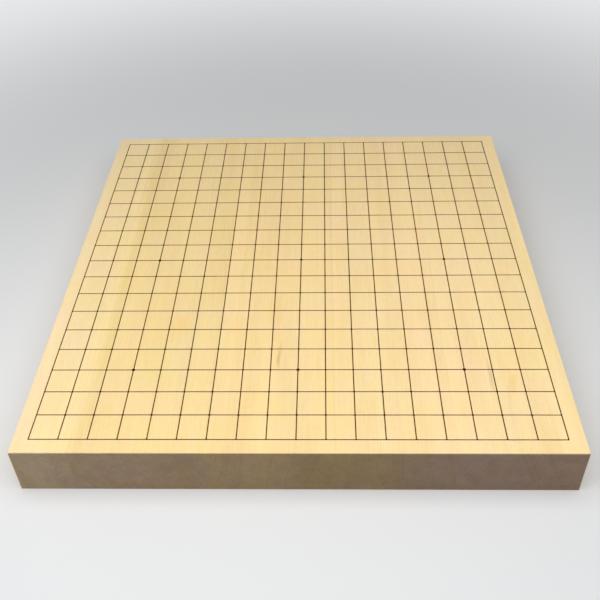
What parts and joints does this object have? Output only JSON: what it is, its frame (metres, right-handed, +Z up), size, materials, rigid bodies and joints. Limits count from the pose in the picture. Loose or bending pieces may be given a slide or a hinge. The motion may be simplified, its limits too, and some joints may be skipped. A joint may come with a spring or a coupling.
{
  "type": "tabletop go board",
  "caption": "Thick tabletop go board: wooden staves glued edge to edge into one slab, with a grid of raised lacquer lines and star points on its playing face.",
  "frame": {"origin": "centre of the underside, which is the face that the board rests on", "axes": "+X across the board to the right, +Y along the board away from the player, +Z up out of the playing face"},
  "size_m": [0.4208, 0.4518, 0.0433],
  "materials": {
    "wood": "waxed satin, straight grained pale wood",
    "glue": "cured amber wood glue",
    "lacquer": "brown black lacquer, slightly raised"
  },
  "bodies": {
    "root": {"left_edge_stave": "wood", "left_stave": "wood", "centre_stave": "wood", "right_stave": "wood", "right_edge_stave": "wood", "glue_line_1": "glue", "glue_line_2": "glue", "glue_line_3": "glue", "glue_line_4": "glue", "lengthwise_line_1": "lacquer", "lengthwise_line_2": "lacquer", "lengthwise_line_3": "lacquer", "lengthwise_line_4": "lacquer", "lengthwise_line_5": "lacquer", "lengthwise_line_6": "lacquer", "lengthwise_line_7": "lacquer", "lengthwise_line_8": "lacquer", "lengthwise_line_9": "lacquer", "lengthwise_line_10": "lacquer", "lengthwise_line_11": "lacquer", "lengthwise_line_12": "lacquer", "lengthwise_line_13": "lacquer", "lengthwise_line_14": "lacquer", "lengthwise_line_15": "lacquer", "lengthwise_line_16": "lacquer", "lengthwise_line_17": "lacquer", "lengthwise_line_18": "lacquer", "lengthwise_line_19": "lacquer", "crosswise_line_1": "lacquer", "crosswise_line_2": "lacquer", "crosswise_line_3": "lacquer", "crosswise_line_4": "lacquer", "crosswise_line_5": "lacquer", "crosswise_line_6": "lacquer", "crosswise_line_7": "lacquer", "crosswise_line_8": "lacquer", "crosswise_line_9": "lacquer", "crosswise_line_10": "lacquer", "crosswise_line_11": "lacquer", "crosswise_line_12": "lacquer", "crosswise_line_13": "lacquer", "crosswise_line_14": "lacquer", "crosswise_line_15": "lacquer", "crosswise_line_16": "lacquer", "crosswise_line_17": "lacquer", "crosswise_line_18": "lacquer", "crosswise_line_19": "lacquer", "star_point_1": "lacquer", "star_point_2": "lacquer", "star_point_3": "lacquer", "star_point_4": "lacquer", "star_point_5": "lacquer", "star_point_6": "lacquer", "star_point_7": "lacquer", "star_point_8": "lacquer", "star_point_9": "lacquer"}
  },
  "joints": []
}
